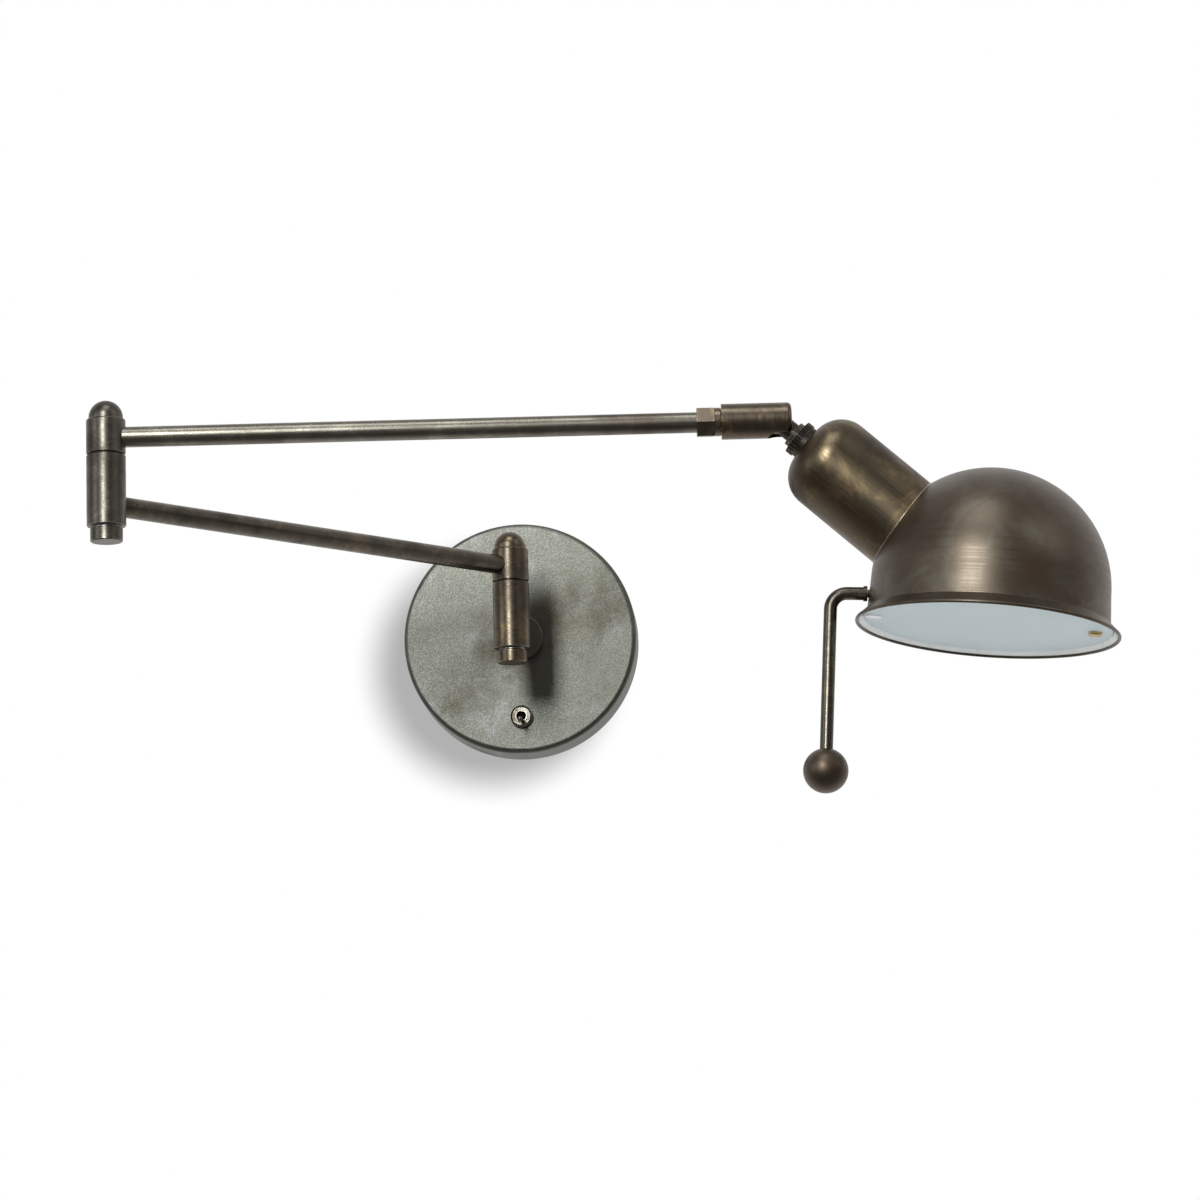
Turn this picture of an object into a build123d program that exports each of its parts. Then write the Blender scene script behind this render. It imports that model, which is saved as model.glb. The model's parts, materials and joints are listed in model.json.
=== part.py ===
from build123d import *

import os
from math import cos, radians, sin, sqrt

# Swing arm wall sconce: a round wall canopy with a toggle switch, two tubular
# arms joined by barrel pivots, a slotted ball swivel and a spun dome shade
# with a flat opal diffuser and a ball handle.
# Frame: origin on the wall at the centre of the canopy's open back, +X to the
# right, +Y into the wall, +Z up. Millimetres.

# ---------------------------------------------------------------- dimensions
# canopy and its fixings
canopy_radius = 62.0
canopy_depth = 24.0
canopy_wall = 1.2
canopy_edge_radius = 2.5
screw_spacing = 70.0          # wall-box screws, centre to centre
slot_radius = 2.25
slot_length = 14.0
strap_thickness = 2.0
strap_width = 18.0
ring_radius = 21.0            # round middle of the strap
ring_hole_radius = 13.0
ear_x = 57.6                  # inner face of the strap's bent ears
ear_height = 13.0
grub_screw_depth = 8.0        # grub screws' distance from the wall
grub_screw_radius = 2.0
earth_x = -25.0
earth_head_radius = 3.6
earth_head_height = 2.4
lock_washer_thickness = 1.0
post_nut_height = 4.0
block_z = 17.0                # terminal block's middle
block_depth = 8.5
backing_radius = 30.0
backing_thickness = 2.0

# post between the canopy and the wall pivot
wall_reach = 78.0             # wall to the first pivot's axis
rod_radius = 5.0              # post and both arms
rod_bore = 4.0
post_bore = 2.8
post_spigot_radius = 4.0
post_spigot_end = 13.0        # free end of the spigot, from the wall
rosette_radius = 12.6
rosette_thickness = 3.0

# barrel pivots
barrel_radius = 9.5
fixed_height = 35.3           # lower, fixed half
turning_height = 17.5         # upper, turning half
split_gap = 0.6
finial_radius = 8.3
cap_radius = 7.85
cap_height = 6.7
spring_gap = 0.8
sleeve_radius = 4.0
sleeve_bore = 2.75
lead_hole_radius = 2.3        # leads pass from the sleeve into the arm
running_clearance = 0.05
chamber_radius = 6.4
sleeve_top = 12.0             # above the split
land_height = 5.0             # lower bearing land
chamber_height = 22.0         # wiring chamber between the two lands
cap_floor = 1.5
spigot_radius = 3.0
wall_split_z = 20.0
arm_rise = 8.5                # arm's axis above the split it turns on
arm_drop = 24.5               # arm's axis below the split that it carries

# arms, at rest
lower_arm_length = 264.0
lower_arm_angle = 227.4       # from +X, counterclockwise from above
upper_arm_angle = 3.9
hex_start = 285.0             # from the elbow's axis, along the upper arm
hex_length = 8.4
hex_flats = 13.6
hex_turn = 10.5               # nut's flats from square, about the arm
hex_grip = 5.4                # tube's depth in the nut
collar_radius = 6.9
collar_length = 3.2
barrel_start = 296.9
barrel_end = 330.7
swivel_radius = 8.65
pivot_reach = 324.0           # ball's centre

# slotted ball swivel
swivel_roll = -1.3            # head's plane about the upper arm, at rest
ball_radius = 6.6
ball_chamber = 6.8
seat_clearance = 0.55         # seat's end to the neck when it hangs square to the arm
neck_radius = 4.75
slot_half_width = 5.0
spindle_radius = 4.0
lead_bore = 2.2

# head, measured from the ball's centre along the cup's axis
cup_angle = 42.0              # below the arm's axis, at rest
knurl_start = 10.0
knurl_radius = 6.4
knurl_length = 2.3
lock_ring_start = 12.6
lock_ring_radius = 8.9
lock_ring_length = 3.3
cup_start = 18.2
cup_radius = 23.5
cup_shoulder = 15.3
cup_wall = 1.2
spigot_end = 26.0
carrier_start = 34.0
holder_end = 62.0
holder_radius = 13.5
bulb_cap_start = 52.0
bulb_cap_radius = 6.9
bulb_cap_length = 24.0
glass_wall = 0.8
bulb_centre = 105.0
bulb_radius = 22.5

# shade, measured from the centre of its dome towards its mouth
dome_reach = 133.0            # ball's centre to the shade's axis
axis_drop = 4.0               # crossing of the two axes below the dome's centre
shade_tilt = 6.5              # shade's axis from the vertical
dome_radius = 57.5
shade_wall = 1.2
skirt_radius = 58.3
flare_start = 15.3
rim_depth = 21.5
rim_radius = 63.2
bead_radius = 0.9
diffuser_radius = 59.4
diffuser_face = 18.6
diffuser_thickness = 3.0
diffuser_taper = 2.7          # its edge follows the flare
clip_radius = 55.0
screw_radius_out = 51.0
lug_outer_radius = 56.3
lug_length = 6.2
screw_turn = -4.7             # diffuser screw's place round the shade

# handle, in the head's plane
handle_radius = 3.15
handle_rise = 2.3             # short leg above the horizontal, outwards
handle_lean = 3.8             # long leg from the vertical
handle_drop = 8.2             # root below the dome's centre, along the shade
handle_run = 17.9             # skirt to the hanging leg
handle_bend = 8.0
handle_length = 86.2          # root's height to the ball's centre
handle_ball_radius = 10.8
handle_spigot_radius = 1.9
handle_stand_off = 0.9        # skirt's curve to the rod's shoulder
handle_collar_radius = 3.7
ball_grip = 0.6               # rod's end inside the ball

# toggle switch
switch_z = -42.7
bushing_radius = 3.2
bushing_bore = 2.6
bushing_end = 28.6
lever_pivot_y = -25.0
lever_tilt = 14.0             # lever points down at rest
lever_length = 13.0
lever_radius = 1.1
lever_tip_radius = 1.5
switch_back = 9.0             # switch body's distance from the wall
nut_radius = 5.9
nut_height = 3.6

# ---------------------------------------------------------------- reference frames
up = Vector(0, 0, 1)
wall_axis = Vector(0, -wall_reach, 0)
lower_dir = Vector(cos(radians(lower_arm_angle)), sin(radians(lower_arm_angle)), 0)
upper_dir = Vector(cos(radians(upper_arm_angle)), sin(radians(upper_arm_angle)), 0)
elbow_axis = wall_axis + lower_dir * lower_arm_length
lower_arm_z = wall_split_z + arm_rise
elbow_split_z = lower_arm_z + arm_drop
upper_arm_z = elbow_split_z + arm_rise

room_face = Plane(origin=(0, 0, 0), x_dir=(1, 0, 0), z_dir=(0, -1, 0))  # local y is up
ball_centre = elbow_axis + upper_dir * pivot_reach + up * upper_arm_z

rolled_up = up.rotate(Axis((0, 0, 0), upper_dir), swivel_roll)
toward_room = upper_dir.cross(rolled_up)
cup_dir = upper_dir * cos(radians(cup_angle)) - rolled_up * sin(radians(cup_angle))
shade_up = rolled_up * cos(radians(shade_tilt)) + upper_dir * sin(radians(shade_tilt))
shade_right = shade_up.cross(toward_room)
dome_centre = ball_centre + cup_dir * dome_reach + shade_up * axis_drop

arm_section = Plane(origin=ball_centre, x_dir=upper_dir, z_dir=toward_room)
cup_section = Plane(origin=ball_centre, x_dir=cup_dir, z_dir=toward_room)
shade_section = Plane(origin=dome_centre, x_dir=shade_right, z_dir=toward_room)
arm_line = Axis(ball_centre, upper_dir)
cup_line = Axis(ball_centre, cup_dir)
shade_line = Axis(dome_centre, shade_up)


def save(piece, name):
    """Label a finished piece and write it as its own STEP file."""
    piece.part.label = name
    export_step(piece.part, f"parts/{name}.step")


def level(axis_point, height):
    """A horizontal plane at a height on an upright axis."""
    return Plane(origin=(axis_point.X, axis_point.Y, height))


def facing(origin, direction):
    """A plane square to a horizontal direction, with its y axis upright."""
    return Plane(origin=origin, x_dir=up.cross(direction), z_dir=direction)


os.makedirs("parts", exist_ok=True)

# ---------------------------------------------------------------- canopy group
with BuildPart() as canopy:
    with BuildSketch(room_face):
        Circle(canopy_radius)
    extrude(amount=canopy_depth)
    front = canopy.faces().sort_by(Axis.Y)[0]
    fillet(front.edges(), canopy_edge_radius)
    offset(amount=-canopy_wall, openings=canopy.faces().sort_by(Axis.Y)[-1])
    with BuildSketch(room_face):
        Circle(post_spigot_radius)
        with Locations((0, switch_z)):
            Circle(bushing_radius)
    extrude(amount=canopy_depth + 1, mode=Mode.SUBTRACT)
    with BuildSketch(Plane.YZ):
        with Locations((-grub_screw_depth, 0)):
            Circle(grub_screw_radius + 0.2)
    extrude(amount=canopy_radius + 1, both=True, mode=Mode.SUBTRACT)
save(canopy, "canopy")

with BuildPart() as mounting_strap:
    with BuildSketch(room_face):
        Rectangle(2 * (ear_x + strap_thickness), strap_width)
        Circle(ring_radius)
        Circle(ring_hole_radius, mode=Mode.SUBTRACT)
        with GridLocations(screw_spacing, 0, 2, 1):
            SlotOverall(slot_length, 2 * slot_radius, mode=Mode.SUBTRACT)
        with Locations((earth_x, 0)):
            Circle(grub_screw_radius, mode=Mode.SUBTRACT)
    extrude(amount=strap_thickness)
    with BuildSketch(room_face.offset(strap_thickness)):
        with GridLocations(2 * ear_x + strap_thickness, 0, 2, 1):
            Rectangle(strap_thickness, strap_width)
    extrude(amount=ear_height - strap_thickness)
    with BuildSketch(Plane.YZ):
        with Locations((-grub_screw_depth, 0)):
            Circle(grub_screw_radius)
    extrude(amount=canopy_radius, both=True, mode=Mode.SUBTRACT)
save(mounting_strap, "mounting_strap")

with BuildPart() as canopy_grub_screws:
    for side in (-1, 1):
        end = Plane(origin=(side * canopy_radius, -grub_screw_depth, 0), z_dir=(-side, 0, 0))
        with BuildSketch(end):
            Circle(grub_screw_radius)
        extrude(amount=canopy_radius - ear_x + 1)
        with BuildSketch(end):
            Rectangle(2 * grub_screw_radius + 1, 0.7)
        extrude(amount=0.8, mode=Mode.SUBTRACT)
save(canopy_grub_screws, "canopy_grub_screws")

with BuildPart() as earth_screw:
    with BuildSketch(room_face):
        with Locations((earth_x, 0)):
            Circle(grub_screw_radius)
    extrude(amount=strap_thickness)
    with BuildSketch(room_face.offset(strap_thickness)):
        with Locations((earth_x, 0)):
            Circle(earth_head_radius)
    extrude(amount=earth_head_height)
    with BuildSketch(room_face.offset(strap_thickness + earth_head_height)):
        with Locations((earth_x, 0)):
            Rectangle(8, 0.9)
    extrude(amount=-1.0, mode=Mode.SUBTRACT)
save(earth_screw, "earth_screw")

plate_back = canopy_depth - canopy_wall - backing_thickness
with BuildPart() as backing_plate:
    with BuildSketch(room_face.offset(plate_back)):
        Circle(backing_radius)
        Circle(post_spigot_radius, mode=Mode.SUBTRACT)
    extrude(amount=backing_thickness)
save(backing_plate, "backing_plate")

with BuildPart() as post_lock_washer:
    with BuildSketch(room_face.offset(plate_back)):
        Circle(7.5)
        Circle(post_spigot_radius, mode=Mode.SUBTRACT)
    extrude(amount=-lock_washer_thickness)
save(post_lock_washer, "post_lock_washer")

with BuildPart() as post_nut:
    with BuildSketch(room_face.offset(plate_back - lock_washer_thickness)):
        RegularPolygon(7.0, 6, major_radius=False)
        Circle(post_spigot_radius, mode=Mode.SUBTRACT)
    extrude(amount=-post_nut_height)
save(post_nut, "post_nut")

with BuildPart() as terminal_block:
    with BuildSketch(room_face.offset(plate_back)):
        with Locations((0, block_z)):
            Rectangle(26, 10)
    extrude(amount=-block_depth)
    chamfer(terminal_block.edges().filter_by(Axis.Y), 1.0)
    with BuildSketch(room_face.offset(plate_back - block_depth)):
        with GridLocations(8, 0, 3, 1):
            with Locations((0, block_z)):
                Circle(1.6)
    extrude(amount=5.0, mode=Mode.SUBTRACT)
save(terminal_block, "terminal_block")

with BuildPart() as rosette:
    with BuildSketch(room_face.offset(canopy_depth)):
        Circle(rosette_radius)
    extrude(amount=rosette_thickness)
    fillet(rosette.faces().sort_by(Axis.Y)[0].edges(), 1.0)
    with BuildSketch(room_face.offset(canopy_depth)):
        Circle(rod_radius)
    extrude(amount=rosette_thickness, mode=Mode.SUBTRACT)
save(rosette, "rosette")

post_length = wall_reach - chamber_radius - 0.4 - canopy_depth
with BuildPart() as wall_post:
    with BuildSketch(room_face.offset(canopy_depth)):
        Circle(rod_radius)
    extrude(amount=post_length)
    with BuildSketch(room_face.offset(post_spigot_end)):
        Circle(post_spigot_radius)
    extrude(amount=canopy_depth - post_spigot_end)
    with BuildSketch(room_face.offset(post_spigot_end)):
        Circle(post_bore)
    extrude(amount=post_length + canopy_depth, mode=Mode.SUBTRACT)
save(wall_post, "wall_post")

# ---------------------------------------------------------------- toggle switch
switch_mouth = Plane(origin=(0, 0, switch_z), x_dir=(1, 0, 0), z_dir=(0, -1, 0))
with BuildPart() as switch_body:
    with BuildSketch(switch_mouth.offset(switch_back)):
        Rectangle(13, 14)
    extrude(amount=canopy_depth - canopy_wall - switch_back)
    chamfer(switch_body.edges().filter_by(Axis.Y), 1.0)
save(switch_body, "switch_body")

with BuildPart() as switch_terminals:
    with BuildSketch(switch_mouth.offset(switch_back)):
        with GridLocations(0, 8, 1, 2):
            Rectangle(4.8, 0.8)
    extrude(amount=-5.0)
save(switch_terminals, "switch_terminals")

with BuildPart() as switch_bushing:
    with BuildSketch(switch_mouth.offset(canopy_depth - canopy_wall)):
        Circle(bushing_radius)
    extrude(amount=bushing_end - canopy_depth + canopy_wall)
    with BuildSketch(switch_mouth.offset(canopy_depth - canopy_wall)):
        Circle(bushing_bore)
    extrude(amount=bushing_end, mode=Mode.SUBTRACT)
save(switch_bushing, "switch_bushing")

with BuildPart() as switch_nut:
    with BuildSketch(switch_mouth.offset(canopy_depth)):
        Circle(nut_radius)
        Circle(bushing_radius, mode=Mode.SUBTRACT)
    extrude(amount=nut_height)
    rim_edge = switch_nut.faces().sort_by(Axis.Y)[0].edges().sort_by(SortBy.LENGTH)[-1]
    chamfer(rim_edge, 1.2)
    with BuildSketch(switch_mouth.offset(canopy_depth)):
        with PolarLocations(6.1, 24):
            Circle(0.35)
    extrude(amount=nut_height, mode=Mode.SUBTRACT)
save(switch_nut, "switch_nut")

lever_dir = Vector(0, -cos(radians(lever_tilt)), -sin(radians(lever_tilt)))
lever_root = Vector(0, lever_pivot_y, switch_z)
lever_plane = Plane(origin=lever_root, x_dir=(1, 0, 0), z_dir=lever_dir)
with BuildPart() as switch_lever:
    with BuildSketch(lever_plane):
        Circle(lever_radius)
    extrude(amount=lever_length - lever_tip_radius)
    with BuildSketch(lever_plane.offset(lever_length - 4.0)):
        Circle(lever_radius)
    with BuildSketch(lever_plane.offset(lever_length - 1.2)):
        Circle(lever_tip_radius)
    loft()
    with Locations(lever_plane.offset(lever_length - 1.2)):
        Sphere(lever_tip_radius)
    with Locations(lever_plane):
        Sphere(2.1)
    with BuildSketch(lever_plane.offset(lever_length)):
        Circle(0.55)
    extrude(amount=-0.8, mode=Mode.SUBTRACT)
save(switch_lever, "switch_lever")


# ---------------------------------------------------------------- barrel pivots
def fixed_knuckle(axis_point, split_z, side_dir, side_z):
    """Lower half of a barrel pivot: two bearing lands, a wiring chamber and a side socket."""
    bottom = split_z - fixed_height
    top = split_z - split_gap / 2
    with BuildPart() as knuckle:
        with BuildSketch(level(axis_point, bottom)):
            Circle(barrel_radius)
        extrude(amount=top - bottom)
        chamfer(knuckle.edges().filter_by(GeomType.CIRCLE), 0.5)
        with BuildSketch(level(axis_point, bottom)):
            Circle(sleeve_radius + running_clearance)
        extrude(amount=top - bottom, mode=Mode.SUBTRACT)
        with BuildSketch(level(axis_point, bottom + land_height)):
            Circle(chamber_radius)
        extrude(amount=chamber_height, mode=Mode.SUBTRACT)
        with BuildSketch(facing((axis_point.X, axis_point.Y, side_z), side_dir)):
            Circle(rod_radius)
        extrude(amount=barrel_radius + 1, mode=Mode.SUBTRACT)
    return knuckle


def turning_knuckle(axis_point, split_z, side_dir):
    """Upper half of a barrel pivot, bored for its sleeve, its finial and the arm's tube."""
    bottom = split_z + split_gap / 2
    height = turning_height - split_gap / 2
    with BuildPart() as knuckle:
        with BuildSketch(level(axis_point, bottom)):
            Circle(barrel_radius)
        extrude(amount=height)
        fillet(knuckle.faces().sort_by(Axis.Z)[-1].edges(), 1.1)
        chamfer(knuckle.faces().sort_by(Axis.Z)[0].edges(), 0.4)
        with BuildSketch(level(axis_point, bottom)):
            Circle(sleeve_radius)
        extrude(amount=split_z + sleeve_top - bottom, mode=Mode.SUBTRACT)
        with BuildSketch(level(axis_point, split_z)):
            Circle(spigot_radius)
        extrude(amount=turning_height, mode=Mode.SUBTRACT)
        socket = facing((axis_point.X, axis_point.Y, split_z + arm_rise), side_dir)
        with BuildSketch(socket.offset(rod_radius)):
            Circle(rod_radius)
        extrude(amount=barrel_radius, mode=Mode.SUBTRACT)
        with BuildSketch(socket):
            Circle(lead_hole_radius)
        extrude(amount=barrel_radius, mode=Mode.SUBTRACT)
    return knuckle


def finial(axis_point, split_z):
    """Domed finial with its threaded spigot."""
    base = split_z + turning_height
    with BuildPart() as dome:
        with BuildSketch(level(axis_point, base)):
            Circle(finial_radius)
        extrude(amount=0.8)
        with Locations(level(axis_point, base + 0.8)):
            Sphere(finial_radius, arc_size1=0, align=(Align.CENTER, Align.CENTER, Align.MIN))
        with BuildSketch(level(axis_point, base)):
            Circle(spigot_radius)
        extrude(amount=-(turning_height - sleeve_top - 0.3))
    return dome


def pivot_sleeve(axis_point, split_z, side_dir):
    """Hollow threaded sleeve that both halves and the cap are held by."""
    bottom = split_z - fixed_height - spring_gap - cap_height + cap_floor
    with BuildPart() as sleeve:
        with BuildSketch(level(axis_point, bottom)):
            Circle(sleeve_radius)
            Circle(sleeve_bore, mode=Mode.SUBTRACT)
        extrude(amount=split_z + sleeve_top - bottom)
        with BuildSketch(facing((axis_point.X, axis_point.Y, split_z + arm_rise), side_dir)):
            Circle(lead_hole_radius)
        extrude(amount=barrel_radius, mode=Mode.SUBTRACT)
        with BuildSketch(level(axis_point, split_z - fixed_height + 8)):
            Rectangle(2 * sleeve_radius + 2, 3.4)
        extrude(amount=fixed_height - 18, mode=Mode.SUBTRACT)
    return sleeve


def washer(axis_point, bottom, thickness, outer_radius):
    """Plain ring on a pivot sleeve."""
    with BuildPart() as ring:
        with BuildSketch(level(axis_point, bottom)):
            Circle(outer_radius)
            Circle(sleeve_radius + running_clearance, mode=Mode.SUBTRACT)
        extrude(amount=thickness)
    return ring


def pivot_cap(axis_point, split_z):
    """Round cap nut on the sleeve's lower end."""
    top = split_z - fixed_height - spring_gap
    with BuildPart() as cap:
        with BuildSketch(level(axis_point, top)):
            Circle(cap_radius)
        extrude(amount=-cap_height)
        chamfer(cap.edges().filter_by(GeomType.CIRCLE), 0.5)
        with BuildSketch(level(axis_point, top)):
            Circle(sleeve_radius)
        extrude(amount=-(cap_height - cap_floor), mode=Mode.SUBTRACT)
    return cap


pivots = {
    "wall": (wall_axis, wall_split_z, Vector(0, 1, 0), 0.0, lower_dir),
    "elbow": (elbow_axis, elbow_split_z, lower_dir * -1, lower_arm_z, upper_dir),
}
for place, (axis_point, split_z, fixed_side, fixed_side_z, turning_side) in pivots.items():
    below = split_z - fixed_height
    save(fixed_knuckle(axis_point, split_z, fixed_side, fixed_side_z), f"{place}_fixed_knuckle")
    save(turning_knuckle(axis_point, split_z, turning_side), f"{place}_turning_knuckle")
    save(finial(axis_point, split_z), f"{place}_finial")
    save(pivot_sleeve(axis_point, split_z, turning_side), f"{place}_pivot_sleeve")
    save(washer(axis_point, split_z - 0.25, 0.5, barrel_radius - 1.0), f"{place}_thrust_washer")
    save(washer(axis_point, below - spring_gap, 0.7, cap_radius - 1.0), f"{place}_spring_washer")
    save(pivot_cap(axis_point, split_z), f"{place}_pivot_cap")


# ---------------------------------------------------------------- arm tubes
def arm_tube(start, direction, length):
    """Straight round tube along a horizontal direction."""
    with BuildPart() as tube:
        with BuildSketch(facing(start, direction)):
            Circle(rod_radius)
            Circle(rod_bore, mode=Mode.SUBTRACT)
        extrude(amount=length)
    return tube


lower_start = wall_axis + lower_dir * rod_radius + up * lower_arm_z
lower_length = lower_arm_length - rod_radius - chamber_radius - 0.4
save(arm_tube(lower_start, lower_dir, lower_length), "lower_arm_tube")

upper_start = elbow_axis + upper_dir * rod_radius + up * upper_arm_z
upper_length = hex_start + hex_grip - rod_radius
save(arm_tube(upper_start, upper_dir, upper_length), "upper_arm_tube")


def along_arm(reach):
    """Plane square to the upper arm at a distance from the elbow's axis."""
    return Plane(origin=elbow_axis + upper_dir * reach + up * upper_arm_z,
                 x_dir=toward_room * -1, z_dir=upper_dir)


with BuildPart() as arm_end_nut:
    with BuildSketch(along_arm(hex_start)):
        RegularPolygon(hex_flats / 2, 6, major_radius=False, rotation=hex_turn)
    extrude(amount=hex_length)
    with BuildSketch(along_arm(hex_start)):
        Circle(rod_radius)
    extrude(amount=hex_grip, mode=Mode.SUBTRACT)
    with BuildSketch(along_arm(hex_start)):
        Circle(spindle_radius)
    extrude(amount=hex_length, mode=Mode.SUBTRACT)
save(arm_end_nut, "arm_end_nut")

with BuildPart() as swivel_collar:
    with BuildSketch(along_arm(hex_start + hex_length)):
        Circle(collar_radius)
    extrude(amount=collar_length)
    chamfer(swivel_collar.edges().filter_by(GeomType.CIRCLE), 0.35)
    with BuildSketch(along_arm(hex_start + hex_length)):
        Circle(spindle_radius)
    extrude(amount=collar_length, mode=Mode.SUBTRACT)
save(swivel_collar, "swivel_collar")

spindle_end = 307.0
with BuildPart() as swivel_spindle:
    with BuildSketch(along_arm(hex_start + hex_grip)):
        Circle(spindle_radius)
        Circle(lead_bore, mode=Mode.SUBTRACT)
    extrude(amount=spindle_end - hex_start - hex_grip)
save(swivel_spindle, "swivel_spindle")

with BuildPart() as spindle_nut:
    with BuildSketch(along_arm(spindle_end - 4.0)):
        RegularPolygon(5.6, 6, major_radius=False)
        Circle(spindle_radius, mode=Mode.SUBTRACT)
    extrude(amount=3.4)
save(spindle_nut, "spindle_nut")

# ---------------------------------------------------------------- slotted swivel
plug_length = 5.5
socket_radius = ball_radius + running_clearance
with BuildPart() as swivel_barrel:
    with BuildSketch(along_arm(barrel_start)):
        Circle(swivel_radius)
    extrude(amount=barrel_end - barrel_start)
    fillet(swivel_barrel.faces().sort_by(arm_line)[-1].edges(), 2.0)
    with BuildSketch(along_arm(barrel_start)):
        Circle(ball_chamber)
    extrude(amount=pivot_reach - barrel_start, mode=Mode.SUBTRACT)
    with Locations(arm_section):
        Sphere(socket_radius, mode=Mode.SUBTRACT)
    with BuildSketch(along_arm(pivot_reach)):
        Circle(slot_half_width)
    extrude(amount=swivel_radius, mode=Mode.SUBTRACT)
    with BuildSketch(Plane(origin=ball_centre, x_dir=upper_dir, z_dir=rolled_up * -1)):
        Circle(slot_half_width)
        with Locations((swivel_radius / 2, 0)):
            Rectangle(swivel_radius, 2 * slot_half_width)
    extrude(amount=swivel_radius + 1, mode=Mode.SUBTRACT)
save(swivel_barrel, "swivel_barrel")

with BuildPart() as swivel_plug:
    with BuildSketch(along_arm(barrel_start)):
        Circle(ball_chamber)
        Circle(spindle_radius + running_clearance, mode=Mode.SUBTRACT)
    extrude(amount=plug_length)
save(swivel_plug, "swivel_plug")

seat_start = 310.0
seat_end = pivot_reach - neck_radius - seat_clearance
with BuildPart() as ball_seat:
    with BuildSketch(along_arm(seat_start)):
        Circle(ball_chamber)
        Circle(3.2, mode=Mode.SUBTRACT)
    extrude(amount=seat_end - seat_start)
    with Locations(arm_section):
        Sphere(socket_radius, mode=Mode.SUBTRACT)
save(ball_seat, "ball_seat")


# ---------------------------------------------------------------- neck and lock ring
def along_cup(reach):
    """Plane square to the cup's axis at a distance from the ball's centre."""
    return Plane(origin=ball_centre + cup_dir * reach, x_dir=toward_room * -1, z_dir=cup_dir)


with BuildPart() as swivel_neck:
    with Locations(cup_section):
        Sphere(ball_radius)
    with BuildSketch(along_cup(0)):
        Circle(neck_radius)
    extrude(amount=spigot_end)
    with BuildSketch(along_cup(knurl_start)):
        Circle(knurl_radius)
        with PolarLocations(knurl_radius + 0.1, 36):
            Circle(0.28, mode=Mode.SUBTRACT)
    extrude(amount=knurl_length)
    with BuildSketch(along_cup(-ball_radius - 1)):
        Circle(lead_bore)
    extrude(amount=spigot_end + ball_radius + 2, mode=Mode.SUBTRACT)
save(swivel_neck, "swivel_neck")

with BuildPart() as neck_nut:
    with BuildSketch(along_cup(cup_start + cup_wall + 0.3)):
        RegularPolygon(7.5, 6, major_radius=False)
        Circle(neck_radius, mode=Mode.SUBTRACT)
    extrude(amount=4.0)
save(neck_nut, "neck_nut")

with BuildPart() as lock_ring:
    with BuildSketch(along_cup(lock_ring_start)):
        Circle(lock_ring_radius)
        with PolarLocations(lock_ring_radius + 0.15, 28):
            Circle(0.55, mode=Mode.SUBTRACT)
        Circle(neck_radius + running_clearance, mode=Mode.SUBTRACT)
    extrude(amount=lock_ring_length)
save(lock_ring, "lock_ring")

collar_start = lock_ring_start + lock_ring_length
with BuildPart() as cup_collar:
    with BuildSketch(along_cup(collar_start)):
        Circle(8.3)
        Circle(neck_radius + running_clearance, mode=Mode.SUBTRACT)
    extrude(amount=cup_start - collar_start)
save(cup_collar, "cup_collar")

# ---------------------------------------------------------------- cup and shade
with BuildPart() as socket_cup:
    with BuildSketch(along_cup(cup_start)):
        Circle(cup_radius)
    extrude(amount=dome_reach - cup_start)
    fillet(socket_cup.faces().sort_by(cup_line)[0].edges(), cup_shoulder)
    offset(amount=-cup_wall, openings=socket_cup.faces().sort_by(cup_line)[-1])
    with Locations(shade_section):
        Sphere(dome_radius, mode=Mode.SUBTRACT)
    with BuildSketch(along_cup(cup_start - 1)):
        Circle(neck_radius + running_clearance)
    extrude(amount=cup_wall + 2, mode=Mode.SUBTRACT)
save(socket_cup, "socket_cup")

with BuildPart() as shade_dome:
    with BuildSketch(shade_section):
        with BuildLine():
            CenterArc((0, 0), dome_radius, 0, 90)
            Line((dome_radius, 0), (skirt_radius, -flare_start))
            Line((skirt_radius, -flare_start), (rim_radius, -rim_depth + shade_wall))
            Line((rim_radius, -rim_depth + shade_wall), (rim_radius - shade_wall, -rim_depth + 0.4))
            Line((rim_radius - shade_wall, -rim_depth + 0.4), (skirt_radius - 1.4, -flare_start))
            Line((skirt_radius - 1.4, -flare_start), (dome_radius - shade_wall, 0))
            CenterArc((0, 0), dome_radius - shade_wall, 0, 90)
            Line((0, dome_radius - shade_wall), (0, dome_radius))
        make_face()
    revolve(axis=shade_line)
    with BuildSketch(shade_section):
        with Locations((rim_radius - 0.5, -rim_depth + 0.8)):
            Circle(bead_radius)
    revolve(axis=shade_line)
    with BuildSketch(along_cup(dome_reach - dome_radius - 10)):
        Circle(cup_radius - cup_wall)
    extrude(amount=40, mode=Mode.SUBTRACT)
    root = Plane(origin=dome_centre - shade_up * handle_drop, z_dir=shade_right * -1)
    with BuildSketch(root.offset(dome_radius - 8)):
        Circle(2.2)
    extrude(amount=16, mode=Mode.SUBTRACT)
save(shade_dome, "shade_dome")


def in_shade(turn, radius, depth):
    """A point in the shade: turned from its right towards the wall, out, and down."""
    across = shade_right * cos(radians(turn)) - toward_room * sin(radians(turn))
    return dome_centre + across * radius - shade_up * depth


def mouth_plane(turn, radius, depth):
    """Plane square to the shade's axis, facing out of its mouth, x axis radial."""
    across = shade_right * cos(radians(turn)) - toward_room * sin(radians(turn))
    return Plane(origin=in_shade(turn, radius, depth), x_dir=across, z_dir=shade_up * -1)


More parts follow.
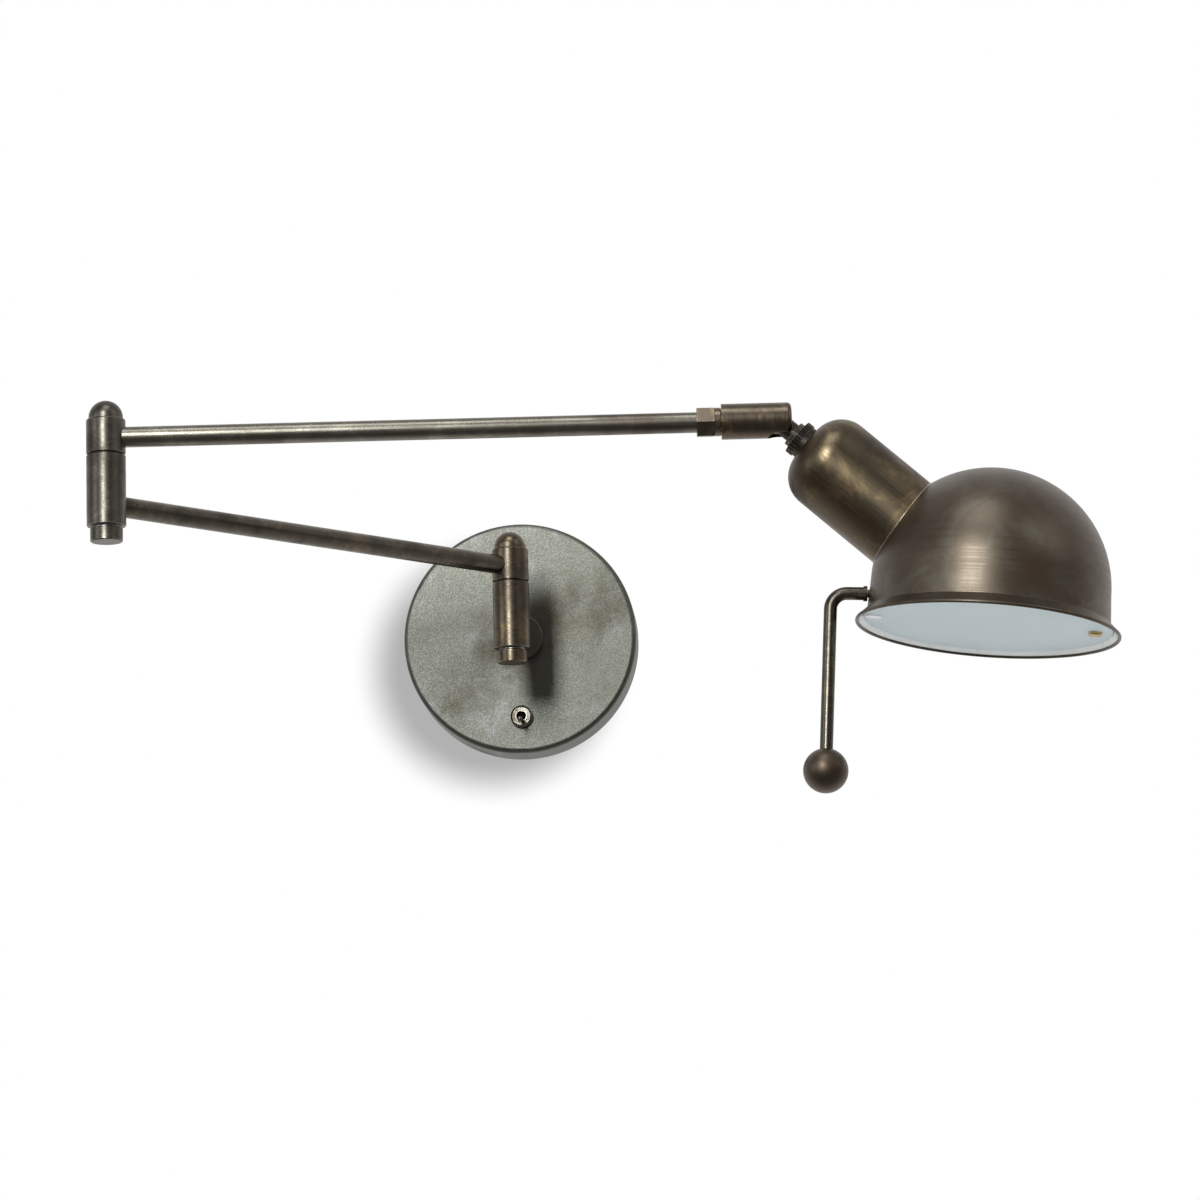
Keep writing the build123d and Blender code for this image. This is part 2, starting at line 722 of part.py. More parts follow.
with BuildPart() as diffuser:
    with BuildSketch(mouth_plane(0, 0, diffuser_face - diffuser_thickness)):
        Circle(diffuser_radius - diffuser_taper)
    with BuildSketch(mouth_plane(0, 0, diffuser_face)):
        Circle(diffuser_radius)
    loft()
    with BuildSketch(mouth_plane(screw_turn, screw_radius_out, diffuser_face)):
        Circle(1.8)
    extrude(amount=-diffuser_thickness - 1, mode=Mode.SUBTRACT)
save(diffuser, "diffuser")

lug_middle = lug_outer_radius - lug_length / 2
with BuildPart() as screw_lug:
    with BuildSketch(mouth_plane(screw_turn, lug_middle, diffuser_face - diffuser_thickness)):
        Rectangle(lug_length, 8)
        with Locations((screw_radius_out - lug_middle, 0)):
            Circle(1.5, mode=Mode.SUBTRACT)
    extrude(amount=-2.0)
save(screw_lug, "screw_lug")

with BuildPart() as diffuser_screw:
    head_plane = mouth_plane(screw_turn, screw_radius_out, diffuser_face)
    with BuildSketch(head_plane):
        Circle(3.3)
    extrude(amount=1.7)
    fillet(diffuser_screw.faces().sort_by(Axis(dome_centre, shade_up * -1))[-1].edges(), 0.8)
    with BuildSketch(head_plane):
        Circle(1.5)
    extrude(amount=-8.0)
    with BuildSketch(head_plane.offset(1.0)):
        Rectangle(7.5, 0.9)
    extrude(amount=2.0, mode=Mode.SUBTRACT)
save(diffuser_screw, "diffuser_screw")

with BuildPart() as diffuser_clip:
    with BuildSketch(mouth_plane(180, clip_radius, diffuser_face)):
        SlotOverall(8.0, 7.0)
    extrude(amount=1.0)
    fillet(diffuser_clip.faces().sort_by(Axis(dome_centre, shade_up * -1))[-1].edges(), 0.5)
save(diffuser_clip, "diffuser_clip")

# ---------------------------------------------------------------- lamp inside the head
with BuildPart() as holder_carrier:
    with BuildSketch(along_cup(carrier_start)):
        Circle(cup_radius - cup_wall)
        Circle(8.0, mode=Mode.SUBTRACT)
        with PolarLocations(17.8, 6):
            Circle(2.6, mode=Mode.SUBTRACT)
    extrude(amount=1.5)
save(holder_carrier, "holder_carrier")

with BuildPart() as lamp_holder:
    with BuildSketch(along_cup(carrier_start + 1.5)):
        Circle(holder_radius)
    extrude(amount=holder_end - carrier_start - 1.5)
    fillet(lamp_holder.faces().sort_by(cup_line)[0].edges(), 2.0)
    with BuildSketch(along_cup(carrier_start)):
        Circle(8.0)
    extrude(amount=1.5)
    with BuildSketch(along_cup(bulb_cap_start - 3.0)):
        Circle(bulb_cap_radius + 0.5)
    extrude(amount=40, mode=Mode.SUBTRACT)
save(lamp_holder, "lamp_holder")

with BuildPart() as holder_ring:
    with BuildSketch(along_cup(carrier_start - 3.0)):
        Circle(11.0)
        Circle(5.2, mode=Mode.SUBTRACT)
    extrude(amount=3.0)
save(holder_ring, "holder_ring")

with BuildPart() as bulb_cap:
    with BuildSketch(along_cup(bulb_cap_start)):
        Circle(bulb_cap_radius)
    extrude(amount=bulb_cap_length)
    with BuildSketch(along_cup(bulb_cap_start + 1.0)):
        Circle(bulb_cap_radius - 0.8)
    extrude(amount=bulb_cap_length, mode=Mode.SUBTRACT)
    with BuildSketch(along_cup(bulb_cap_start - 2.0)):
        Circle(3.5)
    extrude(amount=2.0)
save(bulb_cap, "bulb_cap")

glass_start = bulb_cap_start + bulb_cap_length
neck_join = 10.0              # bulb's neck meets the ball this far behind its centre
with BuildPart() as bulb_glass:
    for inset, mode in ((0.0, Mode.ADD), (glass_wall, Mode.SUBTRACT)):
        with BuildSketch(along_cup(glass_start)):
            Circle(bulb_cap_radius - inset)
        with BuildSketch(along_cup(bulb_centre - neck_join)):
            Circle(sqrt(bulb_radius**2 - neck_join**2) - 0.5 - inset)
        loft(mode=mode)
        with Locations(along_cup(bulb_centre)):
            Sphere(bulb_radius - inset, mode=mode)
save(bulb_glass, "bulb_glass")

# ---------------------------------------------------------------- handle
root_out = rolled_up * sin(radians(handle_rise)) - upper_dir * cos(radians(handle_rise))
hang_dir = rolled_up * -cos(radians(handle_lean)) - upper_dir * sin(radians(handle_lean))
handle_root = in_shade(180, skirt_radius - 0.4, handle_drop)
handle_corner = handle_root + root_out * (handle_run + 0.4)
handle_end = handle_corner + hang_dir * (handle_length - handle_ball_radius + ball_grip)
with BuildPart() as handle_rod:
    with BuildLine():
        FilletPolyline(handle_root + root_out * handle_stand_off, handle_corner, handle_end, radius=handle_bend)
    with BuildSketch(Plane(origin=handle_root + root_out * handle_stand_off, z_dir=root_out)):
        Circle(handle_radius)
    sweep()
    with BuildSketch(Plane(origin=handle_root + root_out * handle_stand_off, z_dir=root_out)):
        Circle(handle_spigot_radius)
    extrude(amount=-6.5)
save(handle_rod, "handle_rod")

with BuildPart() as handle_nut:
    with BuildSketch(Plane(origin=handle_root - root_out * 2.1, z_dir=root_out * -1)):
        RegularPolygon(3.6, 6, major_radius=False)
        Circle(handle_spigot_radius, mode=Mode.SUBTRACT)
    extrude(amount=2.6)
save(handle_nut, "handle_nut")

with BuildPart() as handle_collar:
    with BuildSketch(Plane(origin=handle_root + root_out * handle_stand_off, z_dir=root_out)):
        Circle(handle_collar_radius)
        Circle(handle_radius, mode=Mode.SUBTRACT)
    extrude(amount=1.8)
save(handle_collar, "handle_collar")

with BuildPart() as handle_ball:
    with Locations(Plane(origin=handle_corner + hang_dir * handle_length, z_dir=hang_dir * -1)):
        Sphere(handle_ball_radius)
    with BuildSketch(Plane(origin=handle_corner, z_dir=hang_dir)):
        Circle(handle_radius)
    extrude(amount=handle_length - handle_ball_radius + ball_grip, mode=Mode.SUBTRACT)
save(handle_ball, "handle_ball")
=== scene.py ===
"""Looks of a swing arm wall sconce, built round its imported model.

Everything is in metres, in the model's own frame: origin on the wall at the
centre of the canopy's back, +X right, +Y into the wall, +Z up.
"""

import json
import logging
import math
from dataclasses import dataclass, field, replace
from enum import Enum

import bpy
from mathutils import Matrix, Vector


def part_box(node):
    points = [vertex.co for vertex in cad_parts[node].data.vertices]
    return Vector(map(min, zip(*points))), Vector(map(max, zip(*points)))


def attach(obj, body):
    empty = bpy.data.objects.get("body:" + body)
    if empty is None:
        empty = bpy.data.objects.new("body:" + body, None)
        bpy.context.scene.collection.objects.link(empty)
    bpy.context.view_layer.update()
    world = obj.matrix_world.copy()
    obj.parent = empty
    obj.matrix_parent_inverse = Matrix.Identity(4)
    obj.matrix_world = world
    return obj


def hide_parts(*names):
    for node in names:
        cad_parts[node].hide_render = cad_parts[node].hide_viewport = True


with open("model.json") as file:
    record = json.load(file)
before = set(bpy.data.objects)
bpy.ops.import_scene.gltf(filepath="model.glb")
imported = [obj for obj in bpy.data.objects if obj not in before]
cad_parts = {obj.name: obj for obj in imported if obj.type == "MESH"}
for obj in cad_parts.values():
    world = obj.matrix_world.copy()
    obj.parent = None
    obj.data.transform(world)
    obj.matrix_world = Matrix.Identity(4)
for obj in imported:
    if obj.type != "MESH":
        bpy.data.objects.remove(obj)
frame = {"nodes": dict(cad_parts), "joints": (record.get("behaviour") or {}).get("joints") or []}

LOG = logging.getLogger("sconce")
MM = 0.001
BUMP_DISTANCE = 0.05 * MM
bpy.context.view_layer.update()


class Slot(Enum):
    """Material slots of the record; this script doesn't use them."""

    AGED_BRASS = "aged_brass"
    BRIGHT_BRASS = "bright_brass"


class Grain(Enum):
    """How a metal surface was worked."""

    TURNED = "turned"   # fine rings round the piece's axis
    DRAWN = "drawn"     # fine lines along the piece's axis
    PLAIN = "plain"


# ------------------------------------------------------------------ placing
@dataclass(frozen=True)
class Place:
    """An axis on the object that a turned or drawn piece is made about."""

    origin: Vector
    axis: Vector

    def matrix(self) -> Matrix:
        """Local frame with its z axis on the place's axis."""
        turn = self.axis.to_track_quat("Z", "Y")
        return Matrix.LocRotScale(self.origin, turn, None)


@dataclass(frozen=True)
class Layout:
    """Axes of the sconce at rest, read from the model's joints."""

    dome_reach: float = 133.0 * MM
    axis_drop: float = 4.0 * MM
    shade_tilt: float = math.radians(6.5)

    def joint(self, name: str) -> Place:
        """The axis of a named joint."""
        found = next(j for j in frame["joints"] if j["name"] == name)
        return Place(Vector(found["pos_m"]), Vector(found["axis"]).normalized())

    def canopy(self) -> Place:
        """The canopy's axis, out of the wall."""
        return Place(Vector((0, 0, 0)), Vector((0, -1, 0)))

    def switch(self) -> Place:
        """The toggle switch's axis, out of the wall."""
        return Place(self.joint("switch_toggle").origin, Vector((0, -1, 0)))

    def lower_arm(self) -> Place:
        """The lower arm's axis."""
        low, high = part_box("lower_arm_tube")
        start, end = self.joint("wall_swing").origin, self.joint("elbow_swing").origin
        level = (low.z + high.z) / 2
        span = end - start
        return Place(Vector((start.x, start.y, level)), Vector((span.x, span.y, 0)).normalized())

    def shade(self) -> Place:
        """The shade's axis, through the centre of its dome."""
        ball, arm = self.joint("head_turn"), self.joint("swivel_turn").axis
        room = self.joint("head_tilt").axis * -1
        upright = room.cross(arm)
        axis = upright * math.cos(self.shade_tilt) + arm * math.sin(self.shade_tilt)
        return Place(ball.origin + ball.axis * self.dome_reach + axis * self.axis_drop, axis)


# ------------------------------------------------------------------ node groups
Colour = tuple[float, float, float]
Fed = float | tuple | bpy.types.NodeSocket      # what an input is set or linked to


class Nodes:
    """A node tree and short calls that add to it."""

    def __init__(self, tree: bpy.types.NodeTree) -> None:
        """Keep the tree.

        Args:
            tree: the tree that nodes are added to.
        """
        self.tree = tree

    def add(self, kind: str, **settings: object) -> bpy.types.Node:
        """Add a node.

        Args:
            kind: Blender's name for the node's class.
            settings: attributes of the node.

        Returns:
            The new node.
        """
        node = self.tree.nodes.new(kind)
        for name, value in settings.items():
            setattr(node, name, value)
        return node

    def link(self, source: bpy.types.NodeSocket, target: bpy.types.NodeSocket) -> None:
        """Join an output socket to an input socket."""
        self.tree.links.new(source, target)

    def feed(self, node: bpy.types.Node, inputs: dict) -> bpy.types.Node:
        """Set or link a node's inputs.

        Args:
            node: the node.
            inputs: input name or number to a value or an output socket.

        Returns:
            The same node.
        """
        for key, value in inputs.items():
            if isinstance(value, bpy.types.NodeSocket):
                self.link(value, node.inputs[key])
            else:
                node.inputs[key].default_value = value
        return node

    def math(self, operation: str, *values: Fed) -> bpy.types.NodeSocket:
        """Add a math node.

        Args:
            operation: Blender's name for the sum.
            values: numbers or sockets, in the node's order.

        Returns:
            The node's output.
        """
        node = self.add("ShaderNodeMath", operation=operation)
        return self.feed(node, dict(enumerate(values))).outputs[0]

    def noise(self, vector: bpy.types.NodeSocket, scale: Fed, detail: float = 4.0,
              rough: float = 0.5, distortion: float = 0.0) -> bpy.types.NodeSocket:
        """Add a noise texture.

        Args:
            vector: socket that the noise is read at.
            scale: number or socket for how fine it is.
            detail: how many finer layers it has.
            rough: how strong the finer layers are.
            distortion: how far it is warped.

        Returns:
            The noise's value.
        """
        node = self.feed(self.add("ShaderNodeTexNoise"), {
            "Vector": vector, "Scale": scale, "Detail": detail,
            "Roughness": rough, "Distortion": distortion})
        return node.outputs["Fac"]

    def ramp(self, value: Fed, low: float, high: float, out_low: float = 0.0,
             out_high: float = 1.0) -> bpy.types.NodeSocket:
        """Map a value smoothly from one range to another.

        Args:
            value: the socket to map.
            low: value that gives out_low.
            high: value that gives out_high.
            out_low: result at and below low.
            out_high: result at and above high.

        Returns:
            The mapped value.
        """
        node = self.add("ShaderNodeMapRange", interpolation_type="SMOOTHSTEP", clamp=True)
        self.feed(node, {"Value": value, "From Min": low, "From Max": high,
                         "To Min": out_low, "To Max": out_high})
        return node.outputs["Result"]

    def blend(self, factor: Fed, first: Fed, second: Fed) -> bpy.types.NodeSocket:
        """Mix two colours.

        Args:
            factor: 0 for the first, 1 for the second.
            first: colour or socket.
            second: colour or socket.

        Returns:
            The mixed colour.
        """
        node = self.add("ShaderNodeMix", data_type="RGBA")
        self.feed(node, {0: factor, 6: first, 7: second})
        return node.outputs[2]


def new_group(name: str, inputs: dict[str, tuple], outputs: dict[str, str]) -> tuple[
        bpy.types.NodeTree, Nodes, bpy.types.Node, bpy.types.Node]:
    """Make a shader node group with named sockets.

    Args:
        name: the group's name.
        inputs: socket name to its type and default value.
        outputs: socket name to its type.

    Returns:
        The group, its Nodes, its input node and its output node.
    """
    group = bpy.data.node_groups.new(name, "ShaderNodeTree")
    for label, (kind, default) in inputs.items():
        socket = group.interface.new_socket(label, in_out="INPUT", socket_type=kind)
        if default is not None:
            socket.default_value = default
    for label, kind in outputs.items():
        group.interface.new_socket(label, in_out="OUTPUT", socket_type=kind)
    nodes = Nodes(group)
    return group, nodes, nodes.add("NodeGroupInput"), nodes.add("NodeGroupOutput")


def new_material(name: str) -> tuple[bpy.types.Material, Nodes, bpy.types.Node]:
    """Make a material.

    Args:
        name: the material's name.

    Returns:
        The material, its Nodes and its Principled shader.
    """
    material = bpy.data.materials.new(name)
    material.use_nodes = True
    tree = material.node_tree
    return material, Nodes(tree), tree.nodes["Principled BSDF"]


def opaque(colour: Colour) -> tuple[float, float, float, int]:
    """A colour with full alpha."""
    return (*colour, 1)


FLOAT, COLOUR, VECTOR = "NodeSocketFloat", "NodeSocketColor", "NodeSocketVector"
LINE_DENSITY = 900.0        # noise scale of turned and drawn lines
DRAWN_STRETCH = 0.03        # noise scale along a drawn line, against across it
EDGE_RADIUS = 0.5 * MM      # how near an edge a rub reaches


class Effects:
    """Shared surface effects, each one node group."""

    stain_scale = 0.45      # noise scale of the stains, against the clouds'
    speck_scale = 14.0      # noise scale of the specks, against the clouds'
    rub_scale = 160.0       # noise scale of the breaks along a rubbed edge

    def __init__(self) -> None:
        """Build every group once."""
        self.patina = self._patina()
        self.turned = self._turned()
        self.drawn = self._drawn()
        self.wear = self._wear()

    def _patina(self) -> bpy.types.NodeTree:
        """Cloudy tarnish: lighter clouds, darker stains and fine specks."""
        group, nodes, given, out = new_group("patina", {
            "Vector": (VECTOR, None), "Base": (COLOUR, (0.2, 0.2, 0.2, 1)),
            "Light": (COLOUR, (0.3, 0.3, 0.3, 1)), "Dark": (COLOUR, (0.1, 0.1, 0.1, 1)),
            "Clouds": (FLOAT, 60.0), "Amount": (FLOAT, 0.6), "Specks": (FLOAT, 0.5)},
            {"Color": COLOUR, "Mask": FLOAT})
        v, clouds = given.outputs["Vector"], given.outputs["Clouds"]
        broad = nodes.noise(v, clouds, detail=6.0, rough=0.62, distortion=1.2)
        stain = nodes.noise(v, nodes.math("MULTIPLY", clouds, self.stain_scale), detail=5.0,
                            rough=0.55)
        speck = nodes.noise(v, nodes.math("MULTIPLY", clouds, self.speck_scale), detail=2.0)
        amount = given.outputs["Amount"]
        light = nodes.math("MULTIPLY", nodes.ramp(broad, 0.46, 0.68), amount)
        dark = nodes.math("MULTIPLY", nodes.ramp(stain, 0.5, 0.7), amount)
        flecks = nodes.math("MULTIPLY", nodes.ramp(speck, 0.54, 0.72), given.outputs["Specks"])
        colour = nodes.blend(light, given.outputs["Base"], given.outputs["Light"])
        colour = nodes.blend(dark, colour, given.outputs["Dark"])
        colour = nodes.blend(flecks, colour, given.outputs["Dark"])
        nodes.link(colour, out.inputs["Color"])
        nodes.link(nodes.math("MAXIMUM", dark, flecks), out.inputs["Mask"])
        return group

    def _turned(self) -> bpy.types.NodeTree:
        """Fine rings round the z axis of the given vector."""
        group, nodes, given, out = new_group(
            "turned_lines", {"Vector": (VECTOR, None), "Density": (FLOAT, LINE_DENSITY)},
            {"Height": FLOAT})
        part = nodes.feed(nodes.add("ShaderNodeSeparateXYZ"), {0: given.outputs["Vector"]})
        across = nodes.math("ADD", nodes.math("POWER", part.outputs[0], 2.0),
                            nodes.math("POWER", part.outputs[1], 2.0))
        radius = nodes.math("SQRT", across)
        ring = nodes.feed(nodes.add("ShaderNodeCombineXYZ"), {0: radius, 1: part.outputs[2]})
        nodes.link(nodes.noise(ring.outputs[0], given.outputs["Density"], detail=3.0, rough=0.7),
                   out.inputs["Height"])
        return group

    def _drawn(self) -> bpy.types.NodeTree:
        """Fine lines along the z axis of the given vector."""
        group, nodes, given, out = new_group(
            "drawn_lines", {"Vector": (VECTOR, None), "Density": (FLOAT, LINE_DENSITY)},
            {"Height": FLOAT})
        squeeze = nodes.add("ShaderNodeVectorMath", operation="MULTIPLY")
        nodes.feed(squeeze, {0: given.outputs["Vector"], 1: (1.0, 1.0, DRAWN_STRETCH)})
        nodes.link(nodes.noise(squeeze.outputs[0], given.outputs["Density"], detail=3.0, rough=0.7),
                   out.inputs["Height"])
        return group

    def _wear(self) -> bpy.types.NodeTree:
        """Edges rubbed bright, broken up by noise."""
        group, nodes, given, out = new_group(
            "edge_wear", {"Vector": (VECTOR, None), "Amount": (FLOAT, 0.7)}, {"Mask": FLOAT})
        soft = nodes.add("ShaderNodeBevel", samples=4)
        soft.inputs["Radius"].default_value = EDGE_RADIUS
        sharp = nodes.add("ShaderNodeNewGeometry")
        dot = nodes.add("ShaderNodeVectorMath", operation="DOT_PRODUCT")
        nodes.feed(dot, {0: soft.outputs[0], 1: sharp.outputs["Normal"]})
        edge = nodes.ramp(nodes.math("SUBTRACT", 1.0, dot.outputs["Value"]), 0.01, 0.12)
        broken = nodes.noise(given.outputs["Vector"], self.rub_scale, detail=5.0)
        patches = nodes.ramp(broken, 0.3, 0.6, 0.35, 1.0)
        mask = nodes.math("MULTIPLY", edge, patches)
        mask = nodes.math("MULTIPLY", mask, given.outputs["Amount"])
        nodes.link(mask, out.inputs["Mask"])
        return group


# ------------------------------------------------------------------ finishes
PLAIN_GRAIN = 1200.0        # noise scale of a metal with no worked lines
STAIN_ROUGHER = 0.12        # roughness that a stain adds
WEAR_SMOOTHER = 0.1         # roughness that a rubbed edge loses
DEPTH_THROUGH = 3 * MM      # how far light spreads in an opal sheet


@dataclass(frozen=True)
class AgedMetal:
    """Metal with tarnish, worked grain and rubbed edges."""

    name: str
    base: Colour
    light: Colour
    dark: Colour
    bright: Colour
    grain: Grain = Grain.TURNED
    roughness: float = 0.34
    clouds: float = 60.0
    amount: float = 0.6
    wear: float = 0.7
    lines: float = LINE_DENSITY
    line_depth: float = 0.25
    specks: float = 0.35
    coat: float = 0.0
    coat_roughness: float = 0.3

    def build(self, effects: Effects, place: Place, label: str) -> bpy.types.Material:
        """Make the material about one axis.

        Args:
            effects: the shared node groups.
            place: the axis that the grain follows.
            label: what the material is for.

        Returns:
            The new material.
        """
        material, nodes, shader = new_material(f"{self.name}_{label}")
        here = nodes.add("ShaderNodeTexCoord").outputs["Object"]
        local = nodes.add("ShaderNodeMapping", vector_type="TEXTURE")
        matrix = place.matrix()
        nodes.feed(local, {"Vector": here, "Location": matrix.to_translation(),
                           "Rotation": matrix.to_euler()})
        vector = local.outputs[0]
        tarnish = nodes.add("ShaderNodeGroup", node_tree=effects.patina)
        nodes.feed(tarnish, {
            "Vector": here, "Base": opaque(self.base), "Light": opaque(self.light),
            "Dark": opaque(self.dark), "Clouds": self.clouds, "Amount": self.amount,
            "Specks": self.specks})
        rubbed = nodes.add("ShaderNodeGroup", node_tree=effects.wear)
        nodes.feed(rubbed, {"Vector": here, "Amount": self.wear})
        colour = nodes.blend(rubbed.outputs["Mask"], tarnish.outputs["Color"],
                             opaque(self.bright))
        nodes.link(colour, shader.inputs["Base Color"])
        shader.inputs["Metallic"].default_value = 1.0
        shader.inputs["Coat Weight"].default_value = self.coat
        shader.inputs["Coat Roughness"].default_value = self.coat_roughness
        if self.grain is Grain.PLAIN:
            height = nodes.noise(here, PLAIN_GRAIN, detail=2.0)
        else:
            tree = effects.turned if self.grain is Grain.TURNED else effects.drawn
            lines = nodes.add("ShaderNodeGroup", node_tree=tree)
            nodes.feed(lines, {"Vector": vector, "Density": self.lines})
            height = lines.outputs["Height"]
        rough = nodes.ramp(height, 0.3, 0.7, self.roughness - 0.05, self.roughness + 0.06)
        duller = nodes.math("MULTIPLY", tarnish.outputs["Mask"], STAIN_ROUGHER)
        rough = nodes.math("ADD", rough, duller)
        smoother = nodes.math("MULTIPLY", rubbed.outputs["Mask"], WEAR_SMOOTHER)
        rough = nodes.math("SUBTRACT", rough, smoother)
        nodes.link(rough, shader.inputs["Roughness"])
        bump = nodes.add("ShaderNodeBump")
        nodes.feed(bump, {"Strength": self.line_depth, "Distance": BUMP_DISTANCE, "Height": height})
        nodes.link(bump.outputs["Normal"], shader.inputs["Normal"])
        return material


@dataclass(frozen=True)
class Moulded:
    """Enamel, plastic or opal sheet with faint mottling and a fine skin."""

    name: str
    base: Colour
    shade: Colour
    roughness: float = 0.35
    skin: float = 300.0
    skin_depth: float = 0.1
    coat: float = 0.0
    through: float = 0.0

    def build(self) -> bpy.types.Material:
        """Make the material.

        Returns:
            The new material.
        """
        material, nodes, shader = new_material(self.name)
        here = nodes.add("ShaderNodeTexCoord").outputs["Object"]
        cloud = nodes.ramp(nodes.noise(here, 35.0, detail=5.0), 0.35, 0.7)
        colour = nodes.blend(cloud, opaque(self.base), opaque(self.shade))
        nodes.link(colour, shader.inputs["Base Color"])
        fine = nodes.noise(here, self.skin, detail=3.0)
        nodes.link(nodes.ramp(fine, 0.3, 0.7, self.roughness - 0.04, self.roughness + 0.05),
                   shader.inputs["Roughness"])
        bump = nodes.add("ShaderNodeBump")
        nodes.feed(bump, {"Strength": self.skin_depth, "Distance": BUMP_DISTANCE, "Height": fine})
        nodes.link(bump.outputs["Normal"], shader.inputs["Normal"])
        shader.inputs["Coat Weight"].default_value = self.coat
        shader.inputs["Subsurface Weight"].default_value = self.through
        shader.inputs["Subsurface Radius"].default_value = (DEPTH_THROUGH,) * 3
        shader.inputs["Subsurface Scale"].default_value = 1.0
        return material


CANOPY = AgedMetal("canopy_bronze", (0.153, 0.148, 0.126), (0.202, 0.203, 0.189),
                   (0.112, 0.099, 0.071), (0.5, 0.48, 0.41), Grain.PLAIN, 0.455, clouds=34.0,
                   amount=0.9, wear=0.75, specks=0.05)
ROSETTE = replace(CANOPY, name="rosette_bronze", bright=(0.72, 0.66, 0.54), wear=1.0)
ELBOW_BRASS = AgedMetal("elbow_brass", (0.118, 0.104, 0.085), (0.19, 0.17, 0.135),
                        (0.062, 0.05, 0.04), (0.42, 0.39, 0.32), roughness=0.34, clouds=85.0,
                        amount=0.8, coat=0.1)
BRASS = AgedMetal("aged_brass", (0.135, 0.106, 0.077), (0.27, 0.185, 0.105), (0.055, 0.043, 0.034),
                  (0.42, 0.36, 0.27), roughness=0.32, clouds=95.0, amount=0.8, coat=0.12)
SHADE_BRASS = AgedMetal("shade_bronze", (0.122, 0.094, 0.069), (0.15, 0.128, 0.097),
                        (0.096, 0.062, 0.038), (0.42, 0.37, 0.3), roughness=0.41, clouds=44.0,
                        amount=0.95, lines=1500.0, line_depth=0.35, specks=0.1, coat=0.25,
                        coat_roughness=0.36)
CUP_BRASS = AgedMetal("cup_brass", (0.128, 0.097, 0.063), (0.26, 0.185, 0.1), (0.058, 0.044, 0.032),
                      (0.42, 0.33, 0.21), Grain.DRAWN, 0.38, clouds=55.0, amount=0.8, specks=0.15,
                      coat=0.1)
TUBE_BRASS = AgedMetal("tube_brass", (0.12, 0.102, 0.08), (0.2, 0.16, 0.11), (0.055, 0.046, 0.037),
                       (0.4, 0.35, 0.27), Grain.DRAWN, 0.3, clouds=110.0, amount=0.8, coat=0.2)
# Upper arm: the lower arm's drawn brass made lighter all over, a painted sheen for the bright
# highlight along its top.
UPPER_TUBE_PAINTED_SHEEN = AgedMetal("upper_tube_with_painted_sheen", (0.205, 0.184, 0.15), (0.3, 0.275, 0.225), (0.1, 0.076, 0.058),
                       (0.45, 0.41, 0.33), Grain.DRAWN, 0.3, clouds=48.0, amount=0.85, specks=0.2,
                       coat=0.2)
DARK_BRASS = AgedMetal("dark_brass", (0.075, 0.063, 0.05), (0.14, 0.112, 0.08),
                       (0.03, 0.026, 0.022), (0.42, 0.36, 0.27), roughness=0.36, clouds=120.0)
BLACKENED = AgedMetal("blackened_brass", (0.026, 0.023, 0.021), (0.05, 0.042, 0.034),
                      (0.012, 0.011, 0.01), (0.26, 0.22, 0.17), roughness=0.42, clouds=140.0)
# Solder at the cup's seam, coloured far lighter than the cup: partly bare solder, partly a painted
# highlight along the joint.
SEAM_SOLDER_PAINTED_HIGHLIGHT = AgedMetal("seam_solder_painted_highlight", (0.42, 0.35, 0.25), (0.58, 0.49, 0.36), (0.2, 0.16, 0.11),
                       (0.62, 0.54, 0.4), Grain.PLAIN, 0.36, clouds=90.0, amount=0.8)
ZINC = AgedMetal("zinc_steel", (0.55, 0.55, 0.53), (0.66, 0.65, 0.6), (0.36, 0.35, 0.33),
                 (0.8, 0.8, 0.78), Grain.PLAIN, 0.35, clouds=150.0, amount=0.5)
BARE_BRASS = AgedMetal("bare_brass", (0.68, 0.5, 0.22), (0.8, 0.62, 0.32), (0.38, 0.27, 0.12),
                       (0.88, 0.72, 0.42), roughness=0.27, clouds=150.0, amount=0.5)
NICKEL = AgedMetal("switch_nickel", (0.16, 0.146, 0.122), (0.3, 0.27, 0.22), (0.06, 0.045, 0.033),
                   (0.7, 0.65, 0.56), roughness=0.24, clouds=260.0, amount=0.85, wear=0.6)
PHENOLIC = Moulded("black_phenolic", (0.02, 0.02, 0.02), (0.045, 0.04, 0.036), 0.4)
BLOCK = Moulded("white_block", (0.78, 0.78, 0.75), (0.7, 0.69, 0.65), 0.45)
OPAL = Moulded("opal_diffuser", (0.565, 0.64, 0.66), (0.545, 0.62, 0.64), 0.42, 500.0, 0.06,
               through=0.1)
ENAMEL = Moulded("white_enamel", (0.8, 0.81, 0.8), (0.73, 0.74, 0.73), 0.3, 180.0, 0.12, coat=0.4)
FROSTED = Moulded("frosted_glass", (0.82, 0.82, 0.8), (0.76, 0.76, 0.74), 0.3, 600.0, 0.05,
                  coat=0.3)
FLOOR = Moulded("pale_floor", (0.92, 0.92, 0.91), (0.9, 0.9, 0.89), 0.6)


# ------------------------------------------------------------------ modelling
Outline = list[tuple[float, float]]

WELD = 0.01 * MM                    # vertices nearer than this are merged
SMOOTH_BELOW = math.radians(32)     # faces that meet at less are shaded smooth


def arc(centre: tuple[float, float], radius: float, start: float, end: float,
        steps: int) -> Outline:
    """Points along an arc.

    Args:
        centre: the arc's centre, as distance out and height.
        radius: its radius.
        start: its first angle, in degrees.
        end: its last angle, in degrees.
        steps: the number of its spans.

    Returns:
        The points, from start to end.
    """
    angles = (math.radians(start + (end - start) * i / steps) for i in range(steps + 1))
    return [(centre[0] + radius * math.cos(a), centre[1] + radius * math.sin(a)) for a in angles]


